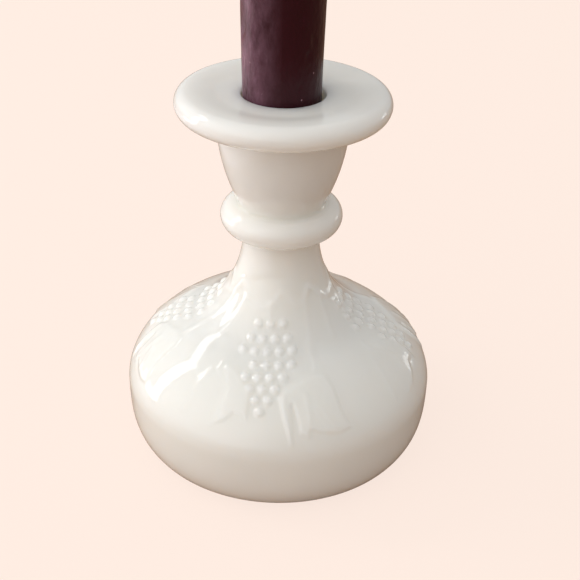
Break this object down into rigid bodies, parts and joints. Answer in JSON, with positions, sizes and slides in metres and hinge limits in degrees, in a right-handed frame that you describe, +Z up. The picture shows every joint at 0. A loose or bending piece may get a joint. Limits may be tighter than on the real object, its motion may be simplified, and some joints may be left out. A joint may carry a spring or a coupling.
{
  "type": "glass candlestick",
  "caption": "Squat pressed opal-glass candlestick: bulbous hollow base with raised grape bunches, ringed neck, flared cup with a wide dished flange, and a plain candle that lifts out.",
  "frame": {"origin": "centre of the foot ring, on the surface that the candlestick stands on", "axes": "+Z up along the axis of the glass and candle; -Y is the front, the side with a grape bunch nearest the viewer; +X to the right"},
  "size_m": [0.0936, 0.0936, 0.1981],
  "materials": {
    "opal_glass": "glossy, fire-polished, opaque warm white",
    "plum_wax": "satin wax with pale bloom",
    "cotton_wick": "braided cotton, waxed"
  },
  "bodies": {
    "glass": {"glass_body": "opal_glass"},
    "candle": {"candle_wax": "plum_wax", "wick": "cotton_wick"}
  },
  "joints": [
    {"name": "candle_lift", "type": "slide", "parent": "glass", "child": "candle", "axis": [0, 0, 1], "range_m": [0, 0.03]}
  ]
}
